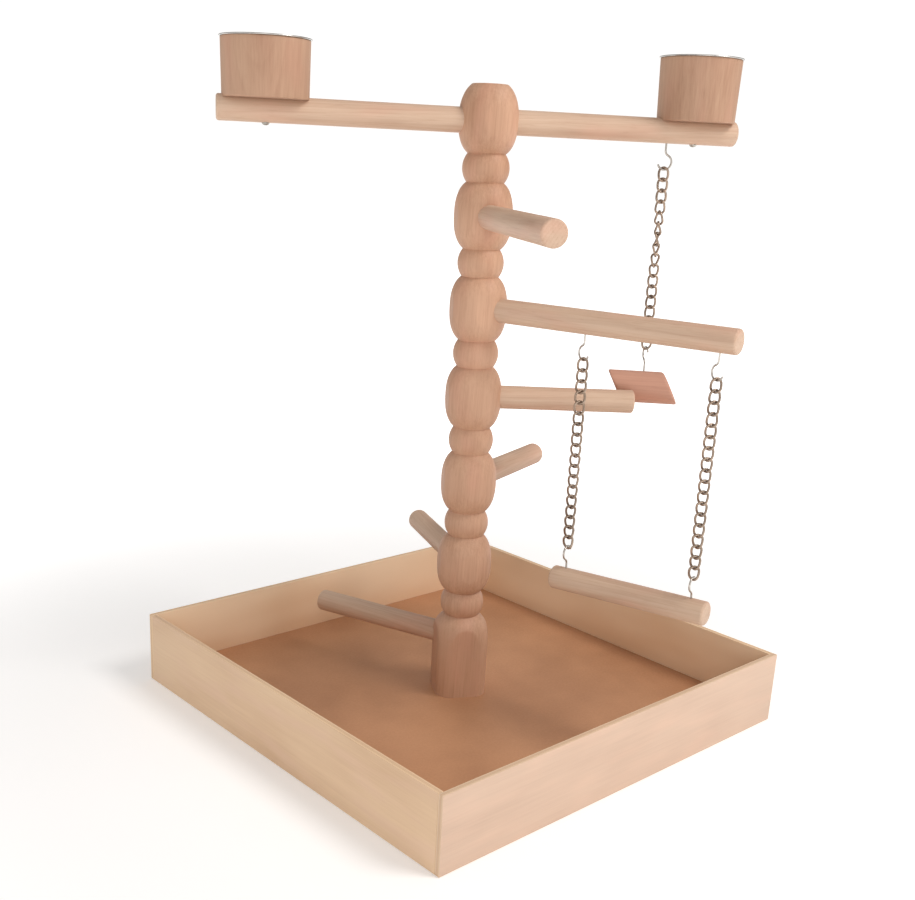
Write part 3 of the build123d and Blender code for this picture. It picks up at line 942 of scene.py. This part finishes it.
# chains
chain = {
    "pitch": 0.00885,
    "slack": 0.00012,
    "wireRadius": 0.00098,
    "innerWidth": 0.0058,
    "sway": 2.5,  # degrees of random lean
    # degrees: the way the first link faces, the turn from top to bottom, and each link's own twist
    "swing": {"start": 133.0, "turn": -24.0, "twist": 64.0},
    "toy": {"start": 128.0, "turn": -178.0, "twist": -64.0},
    "turnBetween": (1.5, 12.5),  # the links between which a hanging chain turns
}


def startGroup(name, inputs):  # a geometry tree and its named inputs, given as "name: kind"
    group = bpy.data.node_groups.new(name, "GeometryNodeTree")
    group.interface.new_socket("Pieces", in_out="OUTPUT", socket_type="NodeSocketGeometry")
    for label, kind in inputs.items():
        group.interface.new_socket(label, in_out="INPUT", socket_type="NodeSocket" + kind)
    tree = Tree(group)
    entry = group.nodes.new("NodeGroupInput")
    return group, tree, {socket.name: Wire(tree, socket) for socket in entry.outputs if socket.name}


def endGroup(tree, points, shape, turn, finish, softened):  # a shape on every point, in its finish
    made = tree.node("GeometryNodeInstanceOnPoints", None,
                     {"Points": points, "Instance": shape, "Rotation": turn})
    made = tree.node("GeometryNodeRealizeInstances", None, {"Geometry": made})
    if softened:
        made = tree.node("GeometryNodeSetShadeSmooth", None, {"Geometry": made})
    made = tree.node("GeometryNodeSetMaterial", None, {"Geometry": made, "Material": finish})
    tree.node("NodeGroupOutput", None, {0: made}, out=None)


def linkTree():
    group, tree, given = startGroup("linkChain", {
        "Top": "Vector", "Count": "Int", "Pitch": "Float", "Wire radius": "Float", "Turn radius": "Float",
        "Half straight": "Float", "Twist": "Float", "First turn": "Float", "Whole turn": "Float",
        "First link": "Int", "Lean": "Float", "Seed": "Int", "Finish": "Material"})
    circle = tree.node("GeometryNodeCurvePrimitiveCircle", {"mode": "RADIUS"},
                       {"Resolution": 28, "Radius": given["Turn radius"]})
    x, y, flat = tree.split(tree.node("GeometryNodeInputPosition"))
    side = y / given["Turn radius"] * 3.5
    side = side.maths("MAXIMUM", side.maths("MINIMUM", side, 1.0), -1.0)
    z = y + side * given["Half straight"]
    angle = z / (given["Turn radius"] + given["Half straight"]) * given["Twist"] * 0.5
    bent = tree.node("ShaderNodeCombineXYZ", None, {0: x * angle.maths("COSINE", angle),
                                                    1: x * angle.maths("SINE", angle), 2: z})
    oval = tree.node("GeometryNodeSetPosition", None, {"Geometry": circle, "Position": bent})
    section = tree.node("GeometryNodeCurvePrimitiveCircle", {"mode": "RADIUS"},
                        {"Resolution": 10, "Radius": given["Wire radius"]})
    link = tree.node("GeometryNodeCurveToMesh", None, {"Curve": oval, "Profile Curve": section})
    step = tree.node("ShaderNodeCombineXYZ", None, {2: 0 - given["Pitch"]})
    line = tree.node("GeometryNodeMeshLine", {"mode": "OFFSET"},
                     {"Count": given["Count"], "Start Location": given["Top"], "Offset": step})
    index = tree.node("GeometryNodeInputIndex")
    lean, tilt = (tree.node("FunctionNodeRandomValue", {"data_type": "FLOAT"},
                            {2: 0 - given["Lean"], 3: given["Lean"], "Seed": seed}, out=1)
                  for seed in (given["Seed"], given["Seed"] + 7))
    turned = (index + given["First link"]).between(*chain["turnBetween"])
    turn = tree.node("ShaderNodeCombineXYZ", None,
                     {0: lean, 1: tilt, 2: given["First turn"] + turned * given["Whole turn"] + lean * 2})
    spin = tree.node("FunctionNodeEulerToRotation", None, {0: turn})
    endGroup(tree, line, link, spin, given["Finish"], True)
    return group


def grown(name, group, values, points=(), aims=()):  # what a geometry tree makes, as a plain mesh
    start = bpy.data.meshes.new(name + "Seed")
    if points:
        start.from_pydata(points, [], [])
        aim = start.attributes.new("aim", "FLOAT_VECTOR", "POINT")
        for entry, direction in zip(aim.data, aims):
            entry.vector = direction
    seed = bpy.data.objects.new(name + "Seed", start)
    scene.collection.objects.link(seed)
    modifier = seed.modifiers.new("grow", "NODES")
    modifier.node_group = group
    for item in group.interface.items_tree:
        if item.in_out == "INPUT" and item.name in values:
            modifier[item.identifier] = values[item.name]
    graph = bpy.context.evaluated_depsgraph_get()
    mesh = bpy.data.meshes.new_from_object(seed.evaluated_get(graph))
    bpy.data.objects.remove(seed)
    mesh.name = name
    return mesh


linkGroup = linkTree()


def chainMesh(name, way, hookBottom, chainNode, first, count, seed):
    # link 1 hangs on the hook; its inner top edge is at the top of the hook's wire
    inner = chain["pitch"] + chain["slack"]
    top = hookBottom + 2 * wire["radius"] - inner / 2 - (first - 1) * chain["pitch"]
    made = grown(name, linkGroup, {
        "Top": chainAxis(chainNode, top), "Count": count, "Pitch": chain["pitch"],
        "Wire radius": chain["wireRadius"], "Turn radius": chain["innerWidth"] / 2 + chain["wireRadius"],
        "Half straight": (inner - chain["innerWidth"]) / 2, "Twist": math.radians(way["twist"]),
        "First turn": math.radians(way["start"]), "Whole turn": math.radians(way["turn"]),
        "First link": first, "Lean": math.radians(chain["sway"]), "Seed": seed, "Finish": chainSteel})
    return smooth(made, 80)


def makeChains():
    topLinks = []
    for seed, which in enumerate(("inner", "outer")):
        node = "swing_chain_" + which
        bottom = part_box("swing_hook_" + which)[0].z
        topLinks.append(chainMesh("topLink", chain["swing"], bottom, node, 1, 1, seed))
        mesh = chainMesh(node, chain["swing"], bottom, node, 2, 17, seed + 11)
        settle("swingChain" + which.capitalize(), mesh, chainSteel, node, "chain_steel", node)
    settle("swingTopLinks", smooth(joined("swingTopLinks", topLinks), 80), chainSteel, "swing_links",
           "chain_steel", "swing_top_links")
    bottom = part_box("crossbar_hook")[0].z
    mesh = chainMesh("toyTopLink", chain["toy"], bottom, "toy_chain", 1, 1, 31)
    settle("toyTopLink", mesh, chainSteel, "toy_link", "chain_steel", "toy_top_link")
    mesh = chainMesh("toyChain", chain["toy"], bottom, "toy_chain", 2, 16, 37)
    settle("toyChain", mesh, chainSteel, "toy_chain", "chain_steel", "toy_chain")


makeChains()
print("chains made")


# chewing block
toy = {
    "radius": 0.014,
    "length": 0.049,
    "cutAngle": 27.0,
    "azimuth": -45.5,
    "hookAzimuth": 58.0,
    "hookRise": 0.0224,
    "edgeRound": 0.0022,
    "segments": 72,
    "steps": 12,
}


def makeToy():
    wood = chainAxis("toy_chain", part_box("toy_block")[1].z)
    along = polar(1, toy["azimuth"])
    across = Vector((0, 0, 1)).cross(along)
    centre = wood - Vector((0, 0, toy["radius"]))
    lean = math.tan(math.radians(toy["cutAngle"]))
    segments, steps = toy["segments"], toy["steps"]
    made = bmesh.new()
    rows = []
    for i in range(steps + 1):
        row = []
        for k in range(segments):
            angle = 2 * math.pi * k / segments
            y, z = toy["radius"] * math.cos(angle), toy["radius"] * math.sin(angle)
            x = toy["length"] * (i / steps - 0.5) - lean * z
            row.append(made.verts.new(centre + along * x + across * y + Vector((0, 0, z))))
        rows.append(row)
    for a, b in zip(rows, rows[1:]):
        for k in range(segments):
            n = (k + 1) % segments
            made.faces.new((a[k], a[n], b[n], b[k]))
    ends = [made.faces.new(rows[0]), made.faces.new(rows[-1])]
    bmesh.ops.recalc_face_normals(made, faces=made.faces)
    rim = [edge for face in ends for edge in face.edges]
    bmesh.ops.bevel(made, geom=rim, offset=toy["edgeRound"], segments=3, profile=0.5, affect="EDGES")
    mesh = built("toyBlock", made)
    finish = woodFinish("blockWood", "block", centre + Vector((0.004, 0.0, -0.019)), along)
    settle("toyBlock", smooth(mesh, 35), finish, "toy", "block_wood", "toy_block")
    turn = Matrix.Rotation(math.radians(toy["hookAzimuth"]), 4, "Z") @ Matrix.Rotation(math.pi, 4, "X")
    mesh = tubeMesh("toyHook", hookLine(toy["hookRise"]), wire["radius"], Matrix.Translation(wood) @ turn)
    settle("toyHook", mesh, wireSteel, "toy", "wire_steel", "toy_hook")


makeToy()
print("toy made")


# fastenings
fastenings = {  # millimetres: shank radius, head radius, head height, how far the head is sunk, thread pitch
    "nail": {"shank": 0.70, "head": 1.15, "headHeight": 0.3, "sunk": 0.36, "thread": 0.0},
    "stud": {"shank": 2.25, "head": 2.2, "headHeight": 0.6, "sunk": 0.8, "thread": 2.2},
    "cupScrew": {"shank": 1.60, "head": 3.10, "headHeight": 2.0, "sunk": 0.0, "thread": 1.6},
}


def fasteningTree():  # a turned pin with a domed head, grown along each point's own aim
    group, tree, given = startGroup("turnedFastening", {
        "Points": "Geometry", "Shank radius": "Float", "Length": "Float", "Head radius": "Float",
        "Head height": "Float", "Thread pitch": "Float", "Thread turns": "Float", "Finish": "Material"})

    def raised(shape, share):  # a shape moved along the shank
        place = tree.node("ShaderNodeCombineXYZ", None, {2: given["Length"] * share})
        return tree.node("GeometryNodeTransform", None, {"Geometry": shape, "Translation": place})

    shank = tree.node("GeometryNodeMeshCylinder", {"fill_type": "NGON"},
                      {"Vertices": 14, "Side Segments": 6, "Radius": given["Shank radius"],
                       "Depth": given["Length"] * 0.9})
    tip = tree.node("GeometryNodeMeshCone", {"fill_type": "NGON"},
                    {"Vertices": 14, "Radius Top": 0.0, "Radius Bottom": given["Shank radius"],
                     "Depth": given["Length"] * 0.1})
    ball = tree.node("GeometryNodeMeshUVSphere", None, {"Segments": 20, "Rings": 10, "Radius": 1.0})
    dome = tree.node("ShaderNodeCombineXYZ", None, {0: given["Head radius"], 1: given["Head radius"],
                                                    2: given["Head height"]})
    head = tree.node("GeometryNodeTransform", None, {"Geometry": ball, "Scale": dome})
    coil = tree.node("GeometryNodeCurveSpiral", None,
                     {"Resolution": 12, "Rotations": given["Thread turns"], "Height": given["Length"] * 0.5,
                      "Start Radius": given["Shank radius"], "End Radius": given["Shank radius"]})
    ridge = tree.node("GeometryNodeCurvePrimitiveCircle", {"mode": "RADIUS"},
                      {"Resolution": 5, "Radius": given["Thread pitch"] * 0.12 + 0.00001})
    thread = tree.node("GeometryNodeCurveToMesh", None,
                       {"Curve": coil, "Profile Curve": ridge, "Fill Caps": True})
    join = group.nodes.new("GeometryNodeJoinGeometry")
    for part in (raised(thread, 0.38), head, raised(tip, 0.9), raised(shank, 0.45)):
        group.links.new(part.socket, join.inputs[0])
    aim = tree.node("GeometryNodeInputNamedAttribute", {"data_type": "FLOAT_VECTOR"}, {"Name": "aim"})
    turn = tree.node("FunctionNodeAlignRotationToVector", {"axis": "Z"}, {"Vector": aim})
    endGroup(tree, given["Points"], Wire(tree, join.outputs[0]), turn, given["Finish"], False)
    return group


fasteningGroup = fasteningTree()


def makeFastenings(name, node, kind, places, length):  # places are (top of the shank, direction)
    made = fastenings[kind]
    sunk = made["sunk"] / 1000
    points = [place + direction * sunk for place, direction in places]
    pitch = made["thread"] / 1000
    mesh = grown(name, fasteningGroup, {
        "Shank radius": made["shank"] / 1000, "Length": length - sunk, "Head radius": made["head"] / 1000,
        "Head height": made["headHeight"] / 1000, "Thread pitch": pitch,
        "Thread turns": length * 0.5 / pitch if pitch else 1.0, "Finish": fastenerSteel},
        points, [direction for place, direction in places])
    settle(name, smooth(mesh, 40), fastenerSteel, "stand", "fastener_steel", node)


nailing = {
    "along": (-0.150, -0.050, 0.050, 0.150),
    "cornerInset": 0.0025,
    "cornerHeights": (0.024, 0.052),
    "length": 0.016,
    "studStart": 0.0027,
    "studLength": 0.0395,
}


def makeAllFastenings():
    low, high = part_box("tray_nails")
    z = (low.z + high.z) / 2
    places = []
    walls = ((low, 1), (high, -1))
    for along in nailing["along"]:
        places += [(Vector((along, face.y, z)), Vector((0, way, 0))) for face, way in walls]
        places += [(Vector((face.x, along, z)), Vector((way, 0, 0))) for face, way in walls]
    makeFastenings("trayNails", "tray_nails", "nail", places, nailing["length"])
    side = high.x - nailing["cornerInset"]
    places = [(Vector((x, y, z)), Vector((0, -1 if y > 0 else 1, 0)))
              for x in (-side, side) for y in (low.y, high.y) for z in nailing["cornerHeights"]]
    makeFastenings("cornerNails", "corner_nails", "nail", places, nailing["length"])
    places = []
    for node, azimuth in perches.items():
        places.append((polar(nailing["studStart"], azimuth, middle(node).z), polar(1, azimuth)))
    makeFastenings("dowelScrews", "dowel_screws", "stud", places, nailing["studLength"])
    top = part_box("cup_screws")[1].z
    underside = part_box("crossbar")[0].z
    places = [(chainAxis(cup, underside), Vector((0, 0, 1))) for cup in ("cup_left", "cup_right")]
    makeFastenings("cupScrews", "cup_screws", "cupScrew", places, top - underside)
    for node in ("post_screw", "post_washer"):
        plain = frame["nodes"][node]
        plain.data.materials.clear()
        plain.data.materials.append(fastenerSteel)


makeAllFastenings()
print("fastenings made")
